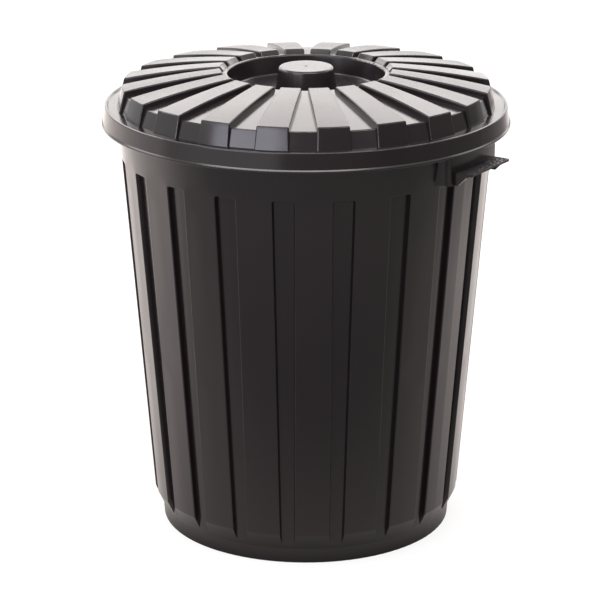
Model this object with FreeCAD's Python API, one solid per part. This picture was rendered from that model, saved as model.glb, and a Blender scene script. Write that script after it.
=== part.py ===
import FreeCAD
import Part
import math
import os

from FreeCAD import Vector

# A round moulded bin: a tapered tub with upright flutes, a turned-over rim and two moulded-in
# grips, and a loose domed lid with raised segments around a sunken knob.
# Millimetres, +Z up, origin on the floor under the middle of the tub, grips on the X axis.

# Tub wall
TUB_HEIGHT = 557.3
TUB_BASE_RADIUS = 190.3
TUB_TAPER_DEG = 4.53
TUB_WALL = 2.4
PANEL_RISE = 8.8
PANEL_FOOT_LOW_Z = 20.0
PANEL_FOOT_HIGH_Z = 42.5
BASE_EDGE_ROUND = 1.2

# Tub floor
FOOT_RING_WIDTH = 16.0
FLOOR_RISE = 7.0
FLOOR_RAMP = 6.0

# Flutes
FLUTE_COUNT = 20
FLUTE_DEPTH = 6.2
FLUTE_TOP_DROP = 62.3
FLUTE_TOP_WIDTH = 28.5
FLUTE_FOOT_WIDTH = 19.5
FLUTE_SIDE_DRAFT_DEG = 16.0
FLUTE_END_DRAFT_DEG = 8.0
FLUTE_CORNER_ROUND = 3.0
FLUTE_EDGE_ROUND = 1.5

# Rim
RIM_WIDTH = 12.2
RIM_DEPTH = 16.0
RIM_EDGE_ROUND = 1.6

# Grips
GRIP_COUNT = 2
GRIP_DROP = 41.3
GRIP_LENGTH = 95.0
GRIP_WIDTH = 19.5
GRIP_THICKNESS = 2.6
GRIP_CORNER_ROUND = 3.0
WEB_DEPTH = 16.5
WEB_THICKNESS = 3.0
WEB_OFFSET = 8.0
WEB_FLARE = 13.0
WEB_FLARE_SINK = 0.4
WEB_CORNER_ROUND = 3.0
BRACE_KNEE_SETBACK = 8.0
BRACE_KNEE_DROP = 5.0

# Lid skirt and gutter
LID_WALL = 2.4
LID_PLAY = 0.8
SEAT_CLEARANCE = 0.3
SKIRT_DEPTH = 23.0
SKIRT_FLARE = 4.3
SKIRT_LIP_RISE = 1.5
SKIRT_LIP_HEIGHT = 2.6
SKIRT_LIP_RAMP = 1.7
SKIRT_FOOT_ROUND = 1.2
SKIRT_LIP_ROUND = 0.7
BEAD_WIDTH = 4.7
BEAD_RISE = 2.0
BEAD_ROUND = 1.9
GUTTER_WIDTH = 10.8

# Raised segments of the lid, heights above the gutter
SEGMENT_COUNT = 20
SEGMENT_TURN_DEG = 5.8
SEGMENT_HEAD_RISE = 27.5
SEGMENT_LEAN = 7.1
SEGMENT_INNER_RISE = 46.3
SEGMENT_INNER_SETBACK = 10.0
SEGMENT_INNER_LEAN = 5.0
SEGMENT_OUTER_WIDTH = 40.0
SEGMENT_INNER_WIDTH = 26.5
SEGMENT_SIDE_DRAFT_DEG = 2.5
SEGMENT_BOW = 1.8
SEGMENT_EDGE_ROUND = 1.9

# Recesses between the segments
RECESS_HEAD_RISE = 21.4
RECESS_SETBACK = 3.2
RECESS_HEAD_ROUND = 2.0
RECESS_BOW = 1.0

# Dish and knob in the middle of the lid
RING_RISE = 40.8
RING_WIDTH = 4.0
DISH_RADIUS = 101.0
DISH_LEAN = 4.0
DISH_DEPTH = 24.8
DISH_LIP_ROUND = 2.8
DISH_FLOOR_ROUND = 3.0
KNOB_HEIGHT = 32.5
KNOB_TOP_RADIUS = 35.0
KNOB_LEAN = 5.0
KNOB_EDGE_ROUND = 4.0
KNOB_FOOT_ROUND = 3.0
GATE_RADIUS = 2.0
GATE_DEPTH = 1.6

# How far cutting and joining shapes run past the faces that they meet, and how near a
# point has to lie to a place to count as on it
OVERRUN = 10.0
SNAP = 0.05

# Heights and radii that follow from the sizes above
TAPER = math.tan(math.radians(TUB_TAPER_DEG))
FLUTE_TOP_Z = TUB_HEIGHT - FLUTE_TOP_DROP
RIM_RADIUS = TUB_BASE_RADIUS + PANEL_RISE + TAPER * TUB_HEIGHT + RIM_WIDTH
RIM_FOOT_Z = TUB_HEIGHT - RIM_DEPTH
GRIP_TOP_Z = TUB_HEIGHT - GRIP_DROP
GRIP_LOW_Z = GRIP_TOP_Z - GRIP_THICKNESS
GRIP_REACH = RIM_RADIUS + GRIP_WIDTH
WEB_FOOT_Z = GRIP_TOP_Z - WEB_DEPTH
WEB_REACH = GRIP_LENGTH / 2 + WEB_OFFSET
GUTTER_Z = TUB_HEIGHT + SEAT_CLEARANCE + LID_WALL
SHOULDER_Z = GUTTER_Z + BEAD_RISE
SHOULDER_RADIUS = RIM_RADIUS + LID_PLAY + LID_WALL
GUTTER_RADIUS = SHOULDER_RADIUS - BEAD_WIDTH
LID_FOOT_Z = GUTTER_Z - SKIRT_DEPTH
LID_RADIUS = SHOULDER_RADIUS + SKIRT_FLARE
SEGMENT_FOOT_RADIUS = GUTTER_RADIUS - GUTTER_WIDTH
SEGMENT_HEAD_RADIUS = SEGMENT_FOOT_RADIUS - SEGMENT_LEAN
SEGMENT_HEAD_Z = GUTTER_Z + SEGMENT_HEAD_RISE
SEGMENT_INNER_RADIUS = DISH_RADIUS + SEGMENT_INNER_SETBACK
SEGMENT_INNER_Z = GUTTER_Z + SEGMENT_INNER_RISE
RECESS_FOOT_RADIUS = SEGMENT_FOOT_RADIUS - RECESS_SETBACK
RECESS_HEAD_RADIUS = SEGMENT_HEAD_RADIUS - RECESS_SETBACK
RECESS_HEAD_Z = GUTTER_Z + RECESS_HEAD_RISE
RING_Z = GUTTER_Z + RING_RISE
RING_RADIUS = DISH_RADIUS + RING_WIDTH
DISH_FLOOR_Z = RING_Z - DISH_DEPTH
KNOB_TOP_Z = DISH_FLOOR_Z + KNOB_HEIGHT

FULL_TURN = 360.0
UP = Vector(0, 0, 1)
CENTRE = Vector(0, 0, 0)
SIDES = (-1, 1)


def panel_radius(height):
    """Radius of the panels between the flutes at a height."""
    return TUB_BASE_RADIUS + PANEL_RISE + TAPER * height


def core_radius(height):
    """Radius of the flute floors at a height."""
    return panel_radius(height) - FLUTE_DEPTH


def point(radius, height):
    """A point of a turned outline, drawn in the XZ plane."""
    return Vector(radius, 0, height)


def line(start, end):
    """A straight edge."""
    return Part.LineSegment(start, end).toShape()


def bowed(start, end, bow):
    """An arc of a turned outline that stands off its chord by bow, on the upper side."""
    chord = end.sub(start)
    aside = Vector(chord.z, 0, -chord.x).normalize()
    if aside.z < 0:
        aside = aside.negative()
    middle = start.add(end).multiply(1 / 2).add(aside.multiply(bow))
    return Part.Arc(start, middle, end).toShape()


def outline(points):
    """Straight edges through a list of points and back to the first."""
    return [line(a, b) for a, b in zip(points, points[1:] + points[:1])]


def turned(edges, start_deg=0, sweep_deg=FULL_TURN):
    """A closed outline spun about the upright axis."""
    face = Part.Face(Part.Wire(edges))
    face.rotate(CENTRE, UP, start_deg)
    return face.revolve(CENTRE, UP, sweep_deg)


def prism(edges, low_z, top_z):
    """A plan outline drawn at height zero, raised into a prism."""
    face = Part.Face(Part.Wire(edges))
    face.translate(Vector(0, 0, low_z))
    return face.extrude(Vector(0, 0, top_z - low_z))


def wedge_between(lower, upper):
    """A six-sided solid from two four-sided ends with matching corners."""
    rings = [lower, upper]
    for index in range(len(lower)):
        after = (index + 1) % len(lower)
        rings.append([lower[index], lower[after], upper[after], upper[index]])
    faces = [Part.Face(Part.makePolygon(ring + ring[:1])) for ring in rings]
    return Part.Solid(Part.Shell(faces))


def around(shape, count, first_deg):
    """Copies of a shape, evenly spaced about the upright axis."""
    copies = []
    for index in range(count):
        copy = shape.copy()
        copy.rotate(CENTRE, UP, first_deg + index * FULL_TURN / count)
        copies.append(copy)
    return copies


def middle_of(edge):
    """The point half way along an edge."""
    return edge.valueAt((edge.FirstParameter + edge.LastParameter) / 2)


def ring_edges(solid, place):
    """The round edges of a turned solid that run through a point of its outline."""
    found = []
    for edge in solid.Edges:
        if isinstance(edge.Curve, Part.Circle):
            off = abs(edge.Curve.Radius - place.x) + abs(edge.Curve.Center.z - place.z)
            if off < SNAP:
                found.append(edge)
    return found


def flute_cutter(inset):
    """The space of one flute on the X axis, outside the flute floor."""
    side_slope = math.tan(math.radians(FLUTE_SIDE_DRAFT_DEG))
    end_slope = math.tan(math.radians(FLUTE_END_DRAFT_DEG))
    widening = (FLUTE_TOP_WIDTH - FLUTE_FOOT_WIDTH) / (FLUTE_TOP_Z - PANEL_FOOT_HIGH_Z)
    low_z = PANEL_FOOT_LOW_Z - OVERRUN

    def half_width(reach, height):
        outward = reach - panel_radius(height) + inset
        width = FLUTE_TOP_WIDTH + widening * (height - FLUTE_TOP_Z)
        return width / 2 + inset + side_slope * outward

    def end_corners(height, tilt):
        corners = []
        reaches = [core_radius(height) - OVERRUN, panel_radius(height) + OVERRUN]
        for side in SIDES:
            for reach in reaches[::side]:
                level = height + tilt * (reach - panel_radius(height))
                corners.append(Vector(reach, side * half_width(reach, level), level))
        return corners

    wedge = wedge_between(end_corners(low_z, 0), end_corners(FLUTE_TOP_Z + inset, end_slope))
    top_corners = []
    for edge in wedge.Edges:
        run = edge.Vertexes[1].Point.sub(edge.Vertexes[0].Point)
        if middle_of(edge).z > FLUTE_TOP_Z - OVERRUN and abs(run.x) > abs(run.y):
            top_corners.append(edge)
    wedge = wedge.makeFillet(FLUTE_CORNER_ROUND + inset, top_corners)
    core_low_z = low_z - OVERRUN
    core_top_z = FLUTE_TOP_Z + OVERRUN + OVERRUN
    core = turned(outline([
        point(0, core_low_z),
        point(core_radius(core_low_z) - inset, core_low_z),
        point(core_radius(core_top_z) - inset, core_top_z),
        point(0, core_top_z),
    ]))
    return wedge.cut(core)


def fluted_fill(inset, low_z, top_z):
    """The tub's outer form, filled solid and drawn in by inset, between two heights."""
    fill = turned(outline([
        point(0, low_z),
        point(TUB_BASE_RADIUS + TAPER * low_z - inset, low_z),
        point(TUB_BASE_RADIUS + TAPER * PANEL_FOOT_LOW_Z - inset, PANEL_FOOT_LOW_Z),
        point(panel_radius(PANEL_FOOT_HIGH_Z) - inset, PANEL_FOOT_HIGH_Z),
        point(panel_radius(top_z) - inset, top_z),
        point(0, top_z),
    ]))
    first_deg = FULL_TURN / FLUTE_COUNT / 2
    return fill.cut(around(flute_cutter(inset), FLUTE_COUNT, first_deg))


def flute_edges(body):
    """The edges where the flutes break the panel faces."""
    found = []
    for edge in body.Edges:
        middle = middle_of(edge)
        off = abs(math.hypot(middle.x, middle.y) - panel_radius(middle.z))
        beside_flute = PANEL_FOOT_HIGH_Z + SNAP < middle.z < FLUTE_TOP_Z + OVERRUN
        between_faces = len(body.ancestorsOfType(edge, Part.Face)) == 2
        if off < SNAP and beside_flute and between_faces:
            found.append(edge)
    return found


def rim():
    """The flat top of the tub and its turned-down lip."""
    inner = panel_radius(TUB_HEIGHT) - TUB_WALL - OVERRUN
    ring = turned(outline([
        point(inner, TUB_HEIGHT),
        point(RIM_RADIUS, TUB_HEIGHT),
        point(RIM_RADIUS, RIM_FOOT_Z),
        point(RIM_RADIUS - TUB_WALL, RIM_FOOT_Z),
        point(RIM_RADIUS - TUB_WALL, TUB_HEIGHT - TUB_WALL),
        point(inner, TUB_HEIGHT - TUB_WALL),
    ]))
    return ring.makeFillet(RIM_EDGE_ROUND, ring_edges(ring, point(RIM_RADIUS, TUB_HEIGHT)))


def grip_plate():
    """The flat plate that the fingers hold, straight along its outer edge."""
    half = GRIP_LENGTH / 2
    inner = RIM_RADIUS - TUB_WALL - OVERRUN
    plate = prism(outline([
        Vector(inner, -half, 0),
        Vector(GRIP_REACH, -half, 0),
        Vector(GRIP_REACH, half, 0),
        Vector(inner, half, 0),
    ]), GRIP_LOW_Z, GRIP_TOP_Z)
    corners = []
    for edge in plate.Edges:
        run = edge.Vertexes[1].Point.sub(edge.Vertexes[0].Point)
        if abs(run.z) > SNAP and middle_of(edge).x > RIM_RADIUS:
            corners.append(edge)
    plate = plate.makeFillet(GRIP_CORNER_ROUND, corners)
    pocket = Part.makeCylinder(RIM_RADIUS - TUB_WALL, TUB_HEIGHT)
    return plate.cut(pocket)


def grip_front():
    """The stretch of the rim's lip that runs down to the plate."""
    half_deg = math.degrees(math.asin(GRIP_LENGTH / 2 / RIM_RADIUS))
    return turned(outline([
        point(RIM_RADIUS - TUB_WALL, GRIP_LOW_Z),
        point(RIM_RADIUS, GRIP_LOW_Z),
        point(RIM_RADIUS, TUB_HEIGHT - TUB_WALL),
        point(RIM_RADIUS - TUB_WALL, TUB_HEIGHT - TUB_WALL),
    ]), -half_deg, 2 * half_deg)


def grip_web(side):
    """One end wall of a grip: it flares out of the tub and turns along the front."""
    inner = WEB_REACH - WEB_THICKNESS
    end = GRIP_LENGTH / 2 - WEB_THICKNESS
    wall = panel_radius(WEB_FOOT_Z) - WEB_FLARE_SINK
    front = math.sqrt(RIM_RADIUS ** 2 - WEB_REACH ** 2)
    front_end = math.sqrt(RIM_RADIUS ** 2 - end ** 2)
    bend_off = wall + WEB_FLARE
    bend_y = WEB_REACH + WEB_FLARE
    bend_x = math.sqrt(bend_off ** 2 - bend_y ** 2)
    bend_end = Vector(bend_x * wall / bend_off, bend_y * wall / bend_off, 0)
    bend_start = Vector(bend_x, WEB_REACH, 0)
    bend_centre = Vector(bend_x, bend_y, 0)
    halfway = bend_start.add(bend_end).multiply(1 / 2).sub(bend_centre).normalize()
    bend_middle = bend_centre.add(halfway.multiply(WEB_FLARE))
    root = bend_end.x - OVERRUN
    inside = [
        bend_end,
        Vector(root, bend_end.y, 0),
        Vector(root, inner, 0),
        Vector(front - WEB_THICKNESS, inner, 0),
        Vector(front_end - WEB_THICKNESS, end, 0),
        Vector(front_end, end, 0),
    ]
    corner = Vector(front, WEB_REACH, 0)
    front_middle = corner.add(inside[-1]).normalize().multiply(RIM_RADIUS)
    edges = [line(a, b) for a, b in zip(inside, inside[1:])]
    edges.append(Part.Arc(inside[-1], front_middle, corner).toShape())
    edges.append(line(corner, bend_start))
    edges.append(Part.Arc(bend_start, bend_middle, bend_end).toShape())
    web = prism(edges, WEB_FOOT_Z, TUB_HEIGHT - TUB_WALL)
    at_corner = []
    for edge in web.Edges:
        off = middle_of(edge).sub(corner)
        if math.hypot(off.x, off.y) < SNAP:
            at_corner.append(edge)
    web = web.makeFillet(WEB_CORNER_ROUND, at_corner)
    if side < 0:
        web = web.mirror(CENTRE, Vector(0, 1, 0))
    return web


def grip_brace(side):
    """The gusset that carries one end of the plate."""
    start = side * GRIP_LENGTH / 2
    root = math.sqrt(RIM_RADIUS ** 2 - start ** 2) - WEB_THICKNESS / 2
    tip = GRIP_REACH - GRIP_CORNER_ROUND
    inside_plate_z = GRIP_TOP_Z - GRIP_THICKNESS / 2
    face = Part.Face(Part.Wire(outline([
        Vector(root, start, WEB_FOOT_Z),
        Vector(RIM_RADIUS, start, WEB_FOOT_Z),
        Vector(GRIP_REACH - BRACE_KNEE_SETBACK, start, GRIP_TOP_Z - BRACE_KNEE_DROP),
        Vector(tip, start, GRIP_LOW_Z),
        Vector(tip, start, inside_plate_z),
        Vector(root, start, inside_plate_z),
    ])))
    return face.extrude(Vector(0, -side * WEB_THICKNESS, 0))


def grip():
    """One moulded-in grip on the X axis."""
    pieces = [grip_front()]
    for side in SIDES:
        pieces.append(grip_web(side))
        pieces.append(grip_brace(side))
    return grip_plate().multiFuse(pieces).removeSplitter()


def floor_hollow():
    """The shallow hollow under the floor, inside the foot ring."""
    wide = TUB_BASE_RADIUS - FOOT_RING_WIDTH
    return turned(outline([
        point(0, -OVERRUN),
        point(wide + FLOOR_RAMP * OVERRUN / FLOOR_RISE, -OVERRUN),
        point(wide - FLOOR_RAMP, FLOOR_RISE),
        point(0, FLOOR_RISE),
    ]))


def floor_boss():
    """The raised middle of the floor, as it stands inside the tub."""
    wide = TUB_BASE_RADIUS - FOOT_RING_WIDTH + TUB_WALL
    return turned(outline([
        point(0, 0),
        point(wide, 0),
        point(wide, TUB_WALL),
        point(wide - FLOOR_RAMP, FLOOR_RISE + TUB_WALL),
        point(0, FLOOR_RISE + TUB_WALL),
    ]))


def tub():
    """The tub, one moulding with its rim and its grips."""
    body = fluted_fill(0, 0, TUB_HEIGHT)
    body = body.makeFillet(FLUTE_EDGE_ROUND, flute_edges(body))
    body = body.makeFillet(BASE_EDGE_ROUND, ring_edges(body, point(TUB_BASE_RADIUS, 0)))
    body = body.multiFuse([rim()] + around(grip(), GRIP_COUNT, 0))
    hollow = fluted_fill(TUB_WALL, TUB_WALL, TUB_HEIGHT + OVERRUN).cut(floor_boss())
    return body.cut([hollow, floor_hollow()])


def lid_middle(inset):
    """Outline edges from the recess foot to the axis, drawn in by inset."""
    recess_foot = point(RECESS_FOOT_RADIUS - inset, GUTTER_Z - inset)
    recess_head = point(RECESS_HEAD_RADIUS - inset, RECESS_HEAD_Z - inset)
    ring = point(RING_RADIUS, RING_Z - inset)
    dish = point(DISH_RADIUS + inset, RING_Z - inset)
    dish_floor = point(DISH_RADIUS - DISH_LEAN + inset, DISH_FLOOR_Z - inset)
    knob_foot = point(KNOB_TOP_RADIUS + KNOB_LEAN - inset, DISH_FLOOR_Z - inset)
    knob_top = point(KNOB_TOP_RADIUS - inset, KNOB_TOP_Z - inset)
    edges = [
        line(recess_foot, recess_head),
        bowed(recess_head, ring, RECESS_BOW),
        line(ring, dish),
        line(dish, dish_floor),
        line(dish_floor, knob_foot),
        line(knob_foot, knob_top),
        line(knob_top, point(0, knob_top.z)),
    ]
    rounds = [
        (recess_head, RECESS_HEAD_ROUND),
        (dish, DISH_LIP_ROUND),
        (dish_floor, DISH_FLOOR_ROUND),
        (knob_foot, KNOB_FOOT_ROUND),
        (knob_top, KNOB_EDGE_ROUND),
    ]
    return recess_foot, edges, point(0, knob_top.z), rounds


def lid_skin():
    """The lid without its raised segments, filled solid below its upper skin."""
    recess_foot, middle, top, rounds = lid_middle(0)
    foot = point(LID_RADIUS, LID_FOOT_Z)
    lip = point(LID_RADIUS, LID_FOOT_Z + SKIRT_LIP_HEIGHT)
    lip_root = point(LID_RADIUS - SKIRT_LIP_RISE, lip.z + SKIRT_LIP_RAMP)
    shoulder = point(SHOULDER_RADIUS, SHOULDER_Z)
    bead = point(GUTTER_RADIUS + BEAD_RISE, SHOULDER_Z)
    gutter = point(GUTTER_RADIUS, GUTTER_Z)
    below = point(0, LID_FOOT_Z)
    path = [top, below, foot, lip, lip_root, shoulder, bead, gutter, recess_foot]
    skin = turned([line(a, b) for a, b in zip(path, path[1:])] + middle)
    rounds += [(foot, SKIRT_FOOT_ROUND), (lip, SKIRT_LIP_ROUND), (shoulder, BEAD_ROUND)]
    for place, radius in rounds:
        skin = skin.makeFillet(radius, ring_edges(skin, place))
    gate = Part.makeCylinder(GATE_RADIUS, GATE_DEPTH + OVERRUN, point(0, KNOB_TOP_Z - GATE_DEPTH))
    return skin.cut(gate)


def lid_hollow():
    """The space under the lid without the undersides of its raised segments."""
    recess_foot, middle, top, rounds = lid_middle(LID_WALL)
    flare = (SKIRT_FLARE - SKIRT_LIP_RISE) / (SHOULDER_Z - LID_FOOT_Z)
    low_z = LID_FOOT_Z - OVERRUN
    foot = point(LID_RADIUS - SKIRT_LIP_RISE + flare * OVERRUN - LID_WALL, low_z)
    shoulder = point(SHOULDER_RADIUS - LID_WALL, GUTTER_Z - LID_WALL)
    path = [top, point(0, low_z), foot, shoulder, recess_foot]
    return turned([line(a, b) for a, b in zip(path, path[1:])] + middle)


def segment_sides(inset):
    """The drafted sides of one raised segment, as a solid taller and longer than it."""
    draft = math.tan(math.radians(SEGMENT_SIDE_DRAFT_DEG))
    length = SEGMENT_HEAD_RADIUS - SEGMENT_INNER_RADIUS
    narrowing = (SEGMENT_OUTER_WIDTH - SEGMENT_INNER_WIDTH) / 2
    growth = (narrowing - draft * (SEGMENT_INNER_Z - SEGMENT_HEAD_Z)) / length

    def half_width(reach, height):
        outward = growth * (reach - SEGMENT_HEAD_RADIUS)
        return SEGMENT_OUTER_WIDTH / 2 - inset + outward + draft * (SEGMENT_HEAD_Z - height)

    def end_corners(height):
        near = DISH_RADIUS - OVERRUN
        far = SEGMENT_FOOT_RADIUS + OVERRUN
        return [
            Vector(near, -half_width(near, height), height),
            Vector(far, -half_width(far, height), height),
            Vector(far, half_width(far, height), height),
            Vector(near, half_width(near, height), height),
        ]

    low_z = GUTTER_Z - OVERRUN - OVERRUN
    return wedge_between(end_corners(low_z), end_corners(SEGMENT_INNER_Z + OVERRUN))


def stands_clear(place):
    """Whether a point of a raised segment lies clearly above the recesses beside it."""
    radius = math.hypot(place.x, place.y)
    if radius > RECESS_HEAD_RADIUS:
        return place.z > GUTTER_Z + SEGMENT_EDGE_ROUND
    along_share = (RECESS_HEAD_RADIUS - radius) / (RECESS_HEAD_RADIUS - RING_RADIUS)
    return place.z > RECESS_HEAD_Z + along_share * (RING_Z - RECESS_HEAD_Z) + SEGMENT_EDGE_ROUND


def segment(inset):
    """One raised segment of the lid on the X axis, with its foot sunk into the skin below."""
    lean = SEGMENT_LEAN / SEGMENT_HEAD_RISE
    foot = point(SEGMENT_FOOT_RADIUS + lean * OVERRUN - inset, GUTTER_Z - OVERRUN)
    head = point(SEGMENT_HEAD_RADIUS - inset, SEGMENT_HEAD_Z - inset)
    inner = point(SEGMENT_INNER_RADIUS + inset, SEGMENT_INNER_Z - inset)
    inner_foot = point(SEGMENT_INNER_RADIUS - SEGMENT_INNER_LEAN + inset, RING_Z - inset)
    sunk = point(SEGMENT_INNER_RADIUS + OVERRUN, RING_Z - inset - OVERRUN)
    half_deg = FULL_TURN / SEGMENT_COUNT / 2
    block = turned([
        line(foot, head),
        bowed(head, inner, SEGMENT_BOW),
        line(inner, inner_foot),
        line(inner_foot, sunk),
        line(sunk, foot),
    ], -half_deg, 2 * half_deg)
    return block.common(segment_sides(inset))


def rounded_segment():
    """One raised segment with its upper edges softened."""
    block = segment(0)
    crisp = [edge for edge in block.Edges if stands_clear(middle_of(edge))]
    return block.makeFillet(SEGMENT_EDGE_ROUND, crisp)


def lid():
    """The lid, one moulding with its skirt, segments, dish and knob."""
    skin = lid_skin().multiFuse(around(rounded_segment(), SEGMENT_COUNT, SEGMENT_TURN_DEG))
    hollow = lid_hollow().multiFuse(around(segment(LID_WALL), SEGMENT_COUNT, SEGMENT_TURN_DEG))
    return skin.cut(hollow)


os.makedirs("parts", exist_ok=True)
for name, shape in (("tub", tub()), ("lid", lid())):
    print(name, len(shape.Solids), "solid, valid", shape.isValid(), "volume", round(shape.Volume))
    shape.Solids[0].exportStep("parts/" + name + ".step")
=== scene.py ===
# %% [markdown]
# A black bin in a small studio
# The object is a round rubbish bin of about 75 litres. It is two mouldings of black polypropylene:
# a tapered tub with upright flutes and two grips, and a loose lid with raised segments and a knob.
# The CAD model already has every shape at its real size, so no mesh is modelled here. What is left
# to Blender is what the eye reads as plastic: the finish, and the things that the plastic mirrors.

# %% Load the CAD model
import math

import bpy
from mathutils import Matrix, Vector


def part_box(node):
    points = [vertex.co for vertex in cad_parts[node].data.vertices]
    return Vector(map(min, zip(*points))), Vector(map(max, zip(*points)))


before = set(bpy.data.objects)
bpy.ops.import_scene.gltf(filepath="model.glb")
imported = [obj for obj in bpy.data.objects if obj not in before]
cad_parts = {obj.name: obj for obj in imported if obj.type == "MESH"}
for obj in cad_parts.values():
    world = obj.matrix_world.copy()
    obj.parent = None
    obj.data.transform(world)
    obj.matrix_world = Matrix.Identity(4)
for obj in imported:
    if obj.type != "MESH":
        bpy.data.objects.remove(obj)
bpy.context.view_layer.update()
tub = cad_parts["tub"]
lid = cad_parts["lid"]
scene = bpy.context.scene
scene.view_settings.view_transform = "Standard"

# %% [markdown]
# The camera
# The photographer stood a few metres away with a long lens and looked a little down on the lid.
# A camera could be set by eye in the viewport. Here its distance, height and turn were worked out
# from the rims of the bin, which are true circles, so the picture has the same perspective.
# A lens is often known only as a width in pixels. Blender wants millimetres on a sensor, and the
# ratio of the two widths changes one into the other.

# %% Camera
VIEW_TURN = math.radians(33.8)
VIEW_PITCH = math.radians(18.116)
VIEW_DISTANCE = 3.293
VIEW_HEIGHT = 1.3704
VIEW_LEFT = 0.0078
LENS_PIXELS = 2628.0
FRAME_PIXELS = 600.0
SENSOR_MM = 36.0
UPRIGHT = Vector((0.0, 0.0, 1.0))

towards_camera = Vector((math.sin(VIEW_TURN), -math.cos(VIEW_TURN), 0.0))
camera_right = Vector((math.cos(VIEW_TURN), math.sin(VIEW_TURN), 0.0))


def spot(right, towards, up):
    """A place as the photographer names it: metres to the right, towards the camera, and up."""
    return camera_right * right + towards_camera * towards + UPRIGHT * up


camera_data = bpy.data.cameras.new("camera")
camera_data.sensor_width = SENSOR_MM
camera_data.lens = SENSOR_MM * LENS_PIXELS / FRAME_PIXELS
camera = bpy.data.objects.new("camera", camera_data)
scene.collection.objects.link(camera)
camera.location = spot(-VIEW_LEFT, VIEW_DISTANCE, VIEW_HEIGHT)
camera.rotation_euler = (math.pi / 2 - VIEW_PITCH, 0.0, VIEW_TURN)
scene.camera = camera
print("camera", [round(v, 3) for v in camera.location], "lens in mm", round(camera_data.lens, 1))

# %% [markdown]
# Helpers for node trees
# Every material, and the world too, is a tree of nodes joined by links. Written out in full, each
# node takes many lines: make it, set it, link it. These four helpers say that once. An input gets
# either a value or the output of another node, so a tree reads from its source to its end.

# %% Helpers that add a node
def feed(tree, entry, value):
    """Links an input, if the value is another node's output, or else sets it."""
    if isinstance(value, bpy.types.NodeSocket):
        tree.links.new(value, entry)
    else:
        entry.default_value = value


def add_node(tree, kind, **settings):
    """A node of that kind, with its properties set and its inputs fed."""
    node = tree.nodes.new(kind)
    for name, value in settings.items():
        if hasattr(node, name):
            setattr(node, name, value)
        else:
            feed(tree, node.inputs[name.replace("_", " ")], value)
    return node


print("helpers", feed.__name__, add_node.__name__)

# %% Helpers that calculate
NUMBERS = "ShaderNodeMath"
VECTORS = "ShaderNodeVectorMath"


def combine(tree, operation, first, second, kind=NUMBERS):
    """The output of a math node that works on two numbers, or on two vectors."""
    node = add_node(tree, kind, operation=operation)
    feed(tree, node.inputs[0], first)
    feed(tree, node.inputs[1], second)
    return node.outputs["Value"] if operation == "DOT_PRODUCT" else node.outputs[0]


def ramp(tree, value, start, end, low, high, **settings):
    """The value mapped from the stretch start to end onto the stretch low to high."""
    node = add_node(tree, "ShaderNodeMapRange", Value=value, From_Min=start, From_Max=end,
                    To_Min=low, To_Max=high, **settings)
    return node.outputs["Result"]


print("helpers", combine.__name__, ramp.__name__)

# %% [markdown]
# The white room
# Catalogue pictures are taken in a white room, so light comes softly from everywhere and the
# picture has a white background. A dome or four walls could be built for it. The world is simpler:
# it surrounds everything. A Light Path node tells the rays apart. Rays that go straight to the
# background, or that the plastic mirrors, find plain white, and the rest find a dimmer, slightly
# warm light, so the background is white without flooding the bin with light.

# %% Room light
ROOM_LEVEL = 0.7
WARM_WHITE = (1.0, 0.949, 0.922)
PURE_WHITE = (1.0, 1.0, 1.0, 1.0)

world = bpy.data.worlds.new("studio")
scene.world = world
world.use_nodes = True
room = world.node_tree
room.nodes.clear()
room_rays = add_node(room, "ShaderNodeLightPath").outputs
direct_or_mirrored = combine(room, "MAXIMUM", room_rays["Is Camera Ray"], room_rays["Is Glossy Ray"])
finds_white = combine(room, "MAXIMUM", direct_or_mirrored, room_rays["Is Transmission Ray"])
room_light = add_node(room, "ShaderNodeBackground", Color=(*WARM_WHITE, 1.0), Strength=ROOM_LEVEL)
background = add_node(room, "ShaderNodeBackground", Color=PURE_WHITE)
either = add_node(room, "ShaderNodeMixShader", Fac=finds_white)
feed(room, either.inputs[1], room_light.outputs[0])
feed(room, either.inputs[2], background.outputs[0])
add_node(room, "ShaderNodeOutputWorld", Surface=either.outputs[0])
print("room light", ROOM_LEVEL)

# %% [markdown]
# The lamps
# Black plastic has hardly any colour of its own. What shows its form are mirrored lamps, so each
# lamp is placed for the surface that mirrors it. Two wide ones behind the bin brighten the tops of
# the lid and the knob. A long strip high in front draws the fine lines along the rounded edges.
# Two more, high at the sides, carry those lines on round the skirt. A cooler one at the left is the
# window, which fades across the faces of the left segments. Point lamps would give hard dots, so
# all six are area lamps, which mirror as soft sheets.

# %% One soft lamp
def soft_lamp(name, right, towards, up, aim, width, height, watts, tint=WARM_WHITE):
    """A rectangular lamp that looks at the axis of the bin, at the height of its aim."""
    data = bpy.data.lights.new(name, "AREA")
    data.shape = "RECTANGLE"
    data.size = width
    data.size_y = height
    data.energy = watts
    data.color = tint
    lamp = bpy.data.objects.new(name, data)
    scene.collection.objects.link(lamp)
    lamp.location = spot(right, towards, up)
    lamp.rotation_mode = "QUATERNION"
    lamp.rotation_quaternion = (UPRIGHT * aim - lamp.location).to_track_quat("-Z", "Y")
    print("lamp", name, [round(v, 2) for v in lamp.location], watts, "W")


print("helper", soft_lamp.__name__)

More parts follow.
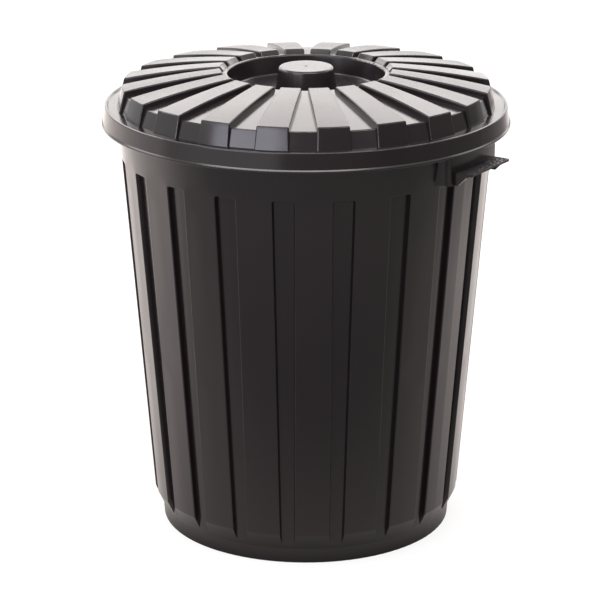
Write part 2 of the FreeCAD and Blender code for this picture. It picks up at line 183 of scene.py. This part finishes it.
# %% The six lamps
WINDOW_LIGHT = (0.87, 0.86, 1.0)
LAMPS = {
    "back_low": dict(right=0.0, towards=-2.8, up=1.08, aim=0.9,
                     width=5.0, height=0.55, watts=17.0),
    "back_high": dict(right=0.0, towards=-2.4, up=2.35, aim=0.6,
                      width=4.5, height=1.7, watts=88.0),
    "strip": dict(right=-0.2, towards=1.15, up=3.0, aim=0.55,
                  width=4.5, height=0.6, watts=59.0),
    "window": dict(right=-1.7, towards=2.5, up=1.4, aim=0.58,
                   width=2.4, height=0.75, watts=30.0, tint=WINDOW_LIGHT),
    "edge_left": dict(right=-2.6, towards=-1.3, up=2.4, aim=0.55,
                      width=2.4, height=0.9, watts=27.0),
    "edge_right": dict(right=2.6, towards=-1.4, up=2.3, aim=0.55,
                       width=2.4, height=0.9, watts=14.0),
}

for lamp_name, lamp_facts in LAMPS.items():
    soft_lamp(lamp_name, **lamp_facts)

# %% [markdown]
# The pale floor
# The bin stands on pale paper, which the picture shows as white. Lamps alone could light it that
# far, but they would turn the black bin grey as well. So the floor is made in layers, and each kind
# of ray sees only its own. The first is matt paper, which takes the soft shadow of the bin. The
# second is a glow for rays straight from the camera, which lifts the paper to white.

# %% Floor seen by the camera
PAPER = (0.22, 0.22, 0.22, 1.0)
PAPER_LIFT = 0.8

floor_paint = bpy.data.materials.new("pale_floor_and_painted_light")
floor_paint.use_nodes = True
floor_tree = floor_paint.node_tree
floor_tree.nodes.clear()
floor_rays = add_node(floor_tree, "ShaderNodeLightPath").outputs
seen = combine(floor_tree, "MAXIMUM", floor_rays["Is Camera Ray"], floor_rays["Is Transmission Ray"])
matt = add_node(floor_tree, "ShaderNodeBsdfDiffuse", Color=PAPER)
lift = combine(floor_tree, "MULTIPLY", seen, PAPER_LIFT)
glow = add_node(floor_tree, "ShaderNodeEmission", Strength=lift)
print("paper", PAPER[0], "lifted by", PAPER_LIFT)

# %% [markdown]
# The floor in the plastic
# The upright wall of the tub mirrors hardly anything but the floor, so the floor decides how the
# tub looks: dark in front, and brighter towards both sides, which mirror the paper behind the bin.
# Real paper would need a lamp for each stretch of it. A third layer is easier to shape: painted
# light, a glow for mirrored rays alone, which no lamp casts. It paints a pool of light that grows
# towards the back, and a little with the distance from the bin, so the paper near the front of the
# bin carries a painted shadow. It fades off to the right as painted shade, and in the dark corner
# right at the foot of the bin as a painted shadow.

# %% Painted light behind the bin
BACK_START = -0.75
BACK_END = 0.5
BACK_GLOW = 1.28
BACK_LEAN = 0.1
SOFT = {"interpolation_type": "SMOOTHSTEP"}

floor_place = add_node(floor_tree, "ShaderNodeTexCoord").outputs["Object"]
backwards = (-towards_camera - camera_right * BACK_LEAN).normalized()
behind = combine(floor_tree, "DOT_PRODUCT", floor_place, backwards, VECTORS)
# painted light: a pool of light on the paper behind the bin, which only the plastic mirrors
painted_back_light = ramp(floor_tree, behind, BACK_START, BACK_END, 0.0, BACK_GLOW, **SOFT)
print("mirrored floor glows from", BACK_START, "to", BACK_END, "m behind the axis")

# %% Painted shadow at the foot and painted shade beside it
FOOT_START = 0.19
FOOT_END = 0.225
FOOT_GLOW = 0.3
RIGHT_START = 0.0
RIGHT_END = 0.35
RIGHT_GLOW = 0.8

outward = add_node(floor_tree, VECTORS, operation="LENGTH", Vector=floor_place).outputs["Value"]
# painted shadow of the bin, on the paper right at its foot
painted_foot_shadow = ramp(floor_tree, outward, FOOT_START, FOOT_END, FOOT_GLOW, 1.0, **SOFT)
aside = combine(floor_tree, "DOT_PRODUCT", floor_place, camera_right, VECTORS)
# painted shade on the paper towards the right
painted_right_shade = ramp(floor_tree, aside, RIGHT_START, RIGHT_END, 1.0, RIGHT_GLOW, **SOFT)
glow_off_foot = combine(floor_tree, "MULTIPLY", painted_back_light, painted_foot_shadow)
# the painted light on the paper, with its painted shadow at the foot and painted shade to the right
painted_paper_light = combine(floor_tree, "MULTIPLY", glow_off_foot, painted_right_shade)
print("it falls to", FOOT_GLOW, "at the foot and to", RIGHT_GLOW, "on the right")

# %% Painted light far from the bin
FAR_START = 0.4
FAR_END = 1.8
FAR_GLOW = 0.27
SIDE_START = 0.85
SIDE_END = 1.9
SIDE_GLOW = 0.15
WARM_PAINTED_GLOW = (1.0, 0.9, 0.86, 1.0)

# painted light that grows with the distance from the bin, leaving a painted shadow near it
painted_far_light = ramp(floor_tree, outward, FAR_START, FAR_END, 0.0, FAR_GLOW, **SOFT)
# painted shade on the paper far to the right
painted_side_shade = ramp(floor_tree, aside, SIDE_START, SIDE_END, 1.0, SIDE_GLOW, **SOFT)
whole_glow = combine(floor_tree, "ADD", painted_paper_light, painted_far_light)
faded_glow = combine(floor_tree, "MULTIPLY", whole_glow, painted_side_shade)
mirrored = combine(floor_tree, "MULTIPLY", faded_glow, floor_rays["Is Glossy Ray"])
# the warm colour of the painted light that the plastic mirrors
mirror_glow = add_node(floor_tree, "ShaderNodeEmission", Color=WARM_PAINTED_GLOW, Strength=mirrored)
print("it gains", FAR_GLOW, "far out and falls to", SIDE_GLOW, "far to the right")

# %% [markdown]
# The sheet of paper In a studio the paper is a wide roll, pulled out under the object. A plane
# from Blender's own menu would do.

# %% Sheets of the studio
def stage_sheet(name, corners, paint):
    """A flat four-cornered sheet of the studio, which is no part of the bin."""
    mesh = bpy.data.meshes.new(name)
    mesh.from_pydata([tuple(corner) for corner in corners], [], [(0, 1, 2, 3)])
    mesh.materials.append(paint)
    sheet = bpy.data.objects.new(name, mesh)
    scene.collection.objects.link(sheet)
    return sheet


print("helper", stage_sheet.__name__)

# %% Floor sheet
FLOOR_SIZE = 14.0

glows = add_node(floor_tree, "ShaderNodeAddShader")
layers = add_node(floor_tree, "ShaderNodeAddShader")
feed(floor_tree, glows.inputs[0], glow.outputs[0])
feed(floor_tree, glows.inputs[1], mirror_glow.outputs[0])
feed(floor_tree, layers.inputs[0], matt.outputs[0])
feed(floor_tree, layers.inputs[1], glows.outputs[0])
add_node(floor_tree, "ShaderNodeOutputMaterial", Surface=layers.outputs[0])
half = FLOOR_SIZE / 2
floor_corners = [(-half, -half, 0.0), (half, -half, 0.0), (half, half, 0.0), (-half, half, 0.0)]
stage_sheet("floor", floor_corners, floor_paint)
print("floor", FLOOR_SIZE, "m square")

# %% [markdown]
# The dark cloths
# In an all-white room a black bin turns grey, because its front mirrors the white room behind the
# camera. Photographers hang dark cloths there, which they call flags. A darker world on that side
# would do the same, but two sheets are easier to place: one behind the camera and one at the right,
# so that the skirt of the lid and the right segments mirror something dark.

# %% Cloth of the flags
FLAG_GREY = (0.3, 0.3, 0.3, 1.0)
FLAG_ROUGHNESS = 0.9

flag_cloth = bpy.data.materials.new("flag_cloth")
flag_cloth.use_nodes = True
cloth = flag_cloth.node_tree.nodes["Principled BSDF"]
cloth.inputs["Base Color"].default_value = FLAG_GREY
cloth.inputs["Roughness"].default_value = FLAG_ROUGHNESS
print("flag cloth", FLAG_GREY[0], "roughness", FLAG_ROUGHNESS)

# %% Two flags
FLAG_TOP = 2.4
FLAG_FRONT = 3.9
FLAG_LEFT_END = -1.0
FLAG_SIDE = 4.2
FLAG_BACK_END = -3.2


def flag(name, start, end):
    """A dark cloth that stands on the floor from a start to an end, outside the picture."""
    rise = UPRIGHT * FLAG_TOP
    sheet = stage_sheet(name, [start, end, end + rise, start + rise], flag_cloth)
    sheet.visible_camera = False
    print(name, round((end - start).length, 2), "m wide")


front_right_corner = spot(FLAG_SIDE, FLAG_FRONT, 0.0)
flag("flag_front", spot(FLAG_LEFT_END, FLAG_FRONT, 0.0), front_right_corner)
flag("flag_right", front_right_corner, spot(FLAG_SIDE, FLAG_BACK_END, 0.0))

# %% [markdown]
# Moulded black plastic
# Polypropylene comes out of the mould with a satin shine. Close up it isn't even: the steel leaves
# a fine grain, the wall sinks and waves a little as it cools, and handling dulls it in soft
# patches. Pictures could be wrapped round the bin for this, but they need unwrapping and stretch on
# a cone. Noise in the object's own coordinates has no seams. Three noises of very different scale
# make the three marks: patches of about 10 cm in the roughness, waves of a few cm and grain of
# about 1 mm in two bumps, one laid over the other. A stretch below 1 draws the waves out upwards.

# %% Patches in the shine
PATCH_SCALE = 9.0
PATCH_DETAIL = 4.0
PATCH_ROUGHNESS = 0.6
PATCH_LOW = 0.35
PATCH_HIGH = 0.7
SHINIER = 0.03
DULLER = 0.05


def patchy_shine(tree, place, roughness):
    """The roughness of the plastic, a little lower or higher from patch to patch."""
    patches = add_node(tree, "ShaderNodeTexNoise", Vector=place, Scale=PATCH_SCALE,
                       Detail=PATCH_DETAIL, Roughness=PATCH_ROUGHNESS)
    return ramp(tree, patches.outputs["Fac"], PATCH_LOW, PATCH_HIGH,
                roughness - SHINIER, roughness + DULLER)


print("roughness goes down by", SHINIER, "and up by", DULLER)

# %% Waves and grain
WAVE_DETAIL = 1.0
WAVE_STRENGTH = 0.12
WAVE_DEPTH = 0.002
GRAIN_SCALE = 900.0
GRAIN_DETAIL = 2.0
GRAIN_DEPTH = 0.0002


def waves_and_grain(tree, place, grain, wave_scale, stretch):
    """The bump of the plastic, its fine grain laid over its broad waves."""
    drawn = combine(tree, "MULTIPLY", place, (1.0, 1.0, stretch), VECTORS)
    waves = add_node(tree, "ShaderNodeTexNoise", Vector=drawn, Scale=wave_scale, Detail=WAVE_DETAIL)
    grains = add_node(tree, "ShaderNodeTexNoise", Vector=place, Scale=GRAIN_SCALE,
                      Detail=GRAIN_DETAIL)
    broad = add_node(tree, "ShaderNodeBump", Strength=WAVE_STRENGTH, Distance=WAVE_DEPTH,
                     Height=waves.outputs["Fac"])
    fine = add_node(tree, "ShaderNodeBump", Strength=grain, Distance=GRAIN_DEPTH,
                    Height=grains.outputs["Fac"], Normal=broad.outputs["Normal"])
    return fine.outputs["Normal"]


print("bump distance of the waves", WAVE_DEPTH, "m, of the grain", GRAIN_DEPTH, "m")

# %% Black plastic
PLASTIC_IOR = 1.49


def black_plastic(name, tint, roughness, grain, wave_scale, stretch):
    """Satin black plastic; gives the finish and its outputs for place, roughness and bump."""
    finish = bpy.data.materials.new(name)
    finish.use_nodes = True
    tree = finish.node_tree
    place = add_node(tree, "ShaderNodeTexCoord").outputs["Object"]
    rough = patchy_shine(tree, place, roughness)
    bump = waves_and_grain(tree, place, grain, wave_scale, stretch)
    shader = tree.nodes["Principled BSDF"]
    shader.inputs["Base Color"].default_value = (*tint, 1.0)
    shader.inputs["IOR"].default_value = PLASTIC_IOR
    feed(tree, shader.inputs["Roughness"], rough)
    feed(tree, shader.inputs["Normal"], bump)
    print("finish", name, "tint", tint, "roughness", roughness)
    return finish, place, rough, bump


print("index of refraction", PLASTIC_IOR)

# %% [markdown]
# The lid's finish
# On the lid, the raised segments are a little duller than the recesses between them: they are what
# hands and stacked lids rub on. A hand-painted mask could say where that is. A cone is enough: it
# runs from the gutter up to the ring, halfway between the raised faces and the recesses, and what
# lies above it gets more roughness. The mask follows the shape, so it needs no unwrapping. To know
# its side of the cone, a point needs two measures: its reach from the axis, and its height.

# %% Reach and height
FLATTEN = (1.0, 1.0, 0.0)


def reach_and_height(tree, place):
    """Outputs that give a point's distance from the upright axis, and its height."""
    level = combine(tree, "MULTIPLY", place, FLATTEN, VECTORS)
    reach = add_node(tree, VECTORS, operation="LENGTH", Vector=level)
    split = add_node(tree, "ShaderNodeSeparateXYZ", Vector=place)
    return reach.outputs["Value"], split.outputs["Z"]


print("helper", reach_and_height.__name__)

# %% Lid plastic
LID_TINT = (0.017, 0.013, 0.0145)
LID_ROUGHNESS = 0.17
LID_GRAIN = 0.2
LID_WAVE_SCALE = 14.0
LID_STRETCH = 1.0

lid_finish, lid_place, lid_rough, _ = black_plastic("lid_black", LID_TINT, LID_ROUGHNESS, LID_GRAIN,
                                                    LID_WAVE_SCALE, LID_STRETCH)

# %% Duller raised segments
CROWN_REACH = 0.228
CROWN_HEIGHT = 0.5845
CROWN_SLOPE = 0.158
RAISED_STEP = 0.002
RAISED_DULLING = 0.065

lid_tree = lid_finish.node_tree
lid_reach, lid_height = reach_and_height(lid_tree, lid_place)
cone_top = CROWN_HEIGHT + CROWN_SLOPE * CROWN_REACH
cone_height = ramp(lid_tree, lid_reach, 0.0, CROWN_REACH, cone_top, CROWN_HEIGHT, clamp=False)
above_cone = combine(lid_tree, "SUBTRACT", lid_height, cone_height)
raised = ramp(lid_tree, above_cone, 0.0, RAISED_STEP, 0.0, RAISED_DULLING)
lid_shader = lid_tree.nodes["Principled BSDF"]
feed(lid_tree, lid_shader.inputs["Roughness"], combine(lid_tree, "ADD", lid_rough, raised))
print("raised segments are duller by", RAISED_DULLING)

# %% [markdown]
# The tub's finish
# The tub is a shade darker. Its tall wall slides a long way out of the mould, which leaves faint
# upright streaks. They could be a fourth noise, but the waves are there already: stretched
# upwards, they turn into streaks.

# %% Tub plastic
TUB_TINT = (0.011, 0.0075, 0.009)
TUB_ROUGHNESS = 0.2
TUB_GRAIN = 0.25
TUB_WAVE_SCALE = 34.0
TUB_STRETCH = 0.08

tub_finish, tub_place, tub_rough, tub_bump = black_plastic("tub_black", TUB_TINT, TUB_ROUGHNESS,
                                                           TUB_GRAIN, TUB_WAVE_SCALE, TUB_STRETCH)

# %% [markdown]
# The pebbled grips
# The plates of the two grips have a pebbled top, so that wet hands don't slip. Pebbles could be
# modelled, but they are a few mm wide, so a strong bump and a dull finish do it, kept to the plates
# by a mask: beyond the rim, and at the height of the plates. Both sizes are measured on the CAD
# mesh, so the mask stays right if the tub changes.

# %% Where the plates are
RIM_CLEAR = 0.002
PLATE_CLEAR = 0.0003

grip_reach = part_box("tub")[1].y + RIM_CLEAR
plate_top = max(v.co.z for v in tub.data.vertices if math.hypot(v.co.x, v.co.y) > grip_reach)
tub_tree = tub_finish.node_tree
tub_reach, tub_height = reach_and_height(tub_tree, tub_place)
beyond_rim = combine(tub_tree, "GREATER_THAN", tub_reach, grip_reach)
on_top = combine(tub_tree, "GREATER_THAN", tub_height, plate_top - PLATE_CLEAR)
on_plate = combine(tub_tree, "MULTIPLY", beyond_rim, on_top)
print("plates lie beyond", round(grip_reach, 4), "m, at", round(plate_top, 4), "m")

# %% Pebbles
PEBBLE_SCALE = 210.0
PEBBLE_DETAIL = 2.0
PEBBLE_STRENGTH = 1.0
PEBBLE_DEPTH = 0.003
PEBBLE_DULLING = 0.3

pebbles = add_node(tub_tree, "ShaderNodeTexNoise", Vector=tub_place, Scale=PEBBLE_SCALE,
                   Detail=PEBBLE_DETAIL)
pebble_height = combine(tub_tree, "MULTIPLY", pebbles.outputs["Fac"], on_plate)
pebbled = add_node(tub_tree, "ShaderNodeBump", Strength=PEBBLE_STRENGTH, Distance=PEBBLE_DEPTH,
                   Height=pebble_height, Normal=tub_bump)
plate_dulling = combine(tub_tree, "MULTIPLY", on_plate, PEBBLE_DULLING)
tub_shader = tub_tree.nodes["Principled BSDF"]
feed(tub_tree, tub_shader.inputs["Normal"], pebbled.outputs["Normal"])
feed(tub_tree, tub_shader.inputs["Roughness"], combine(tub_tree, "ADD", tub_rough, plate_dulling))
print("plates are duller by", PEBBLE_DULLING)

# %% [markdown]
# Dress the two mouldings
# A mesh carries a list of materials, and each face points into it. The CAD model comes with plain
# stand-ins in that list, so they make way for the finishes. The meshes stay as they are.

# %% Dress the mouldings
for moulding, finish in ((tub, tub_finish), (lid, lid_finish)):
    moulding.data.materials.clear()
    moulding.data.materials.append(finish)
    print(moulding.name, "wears", finish.name)
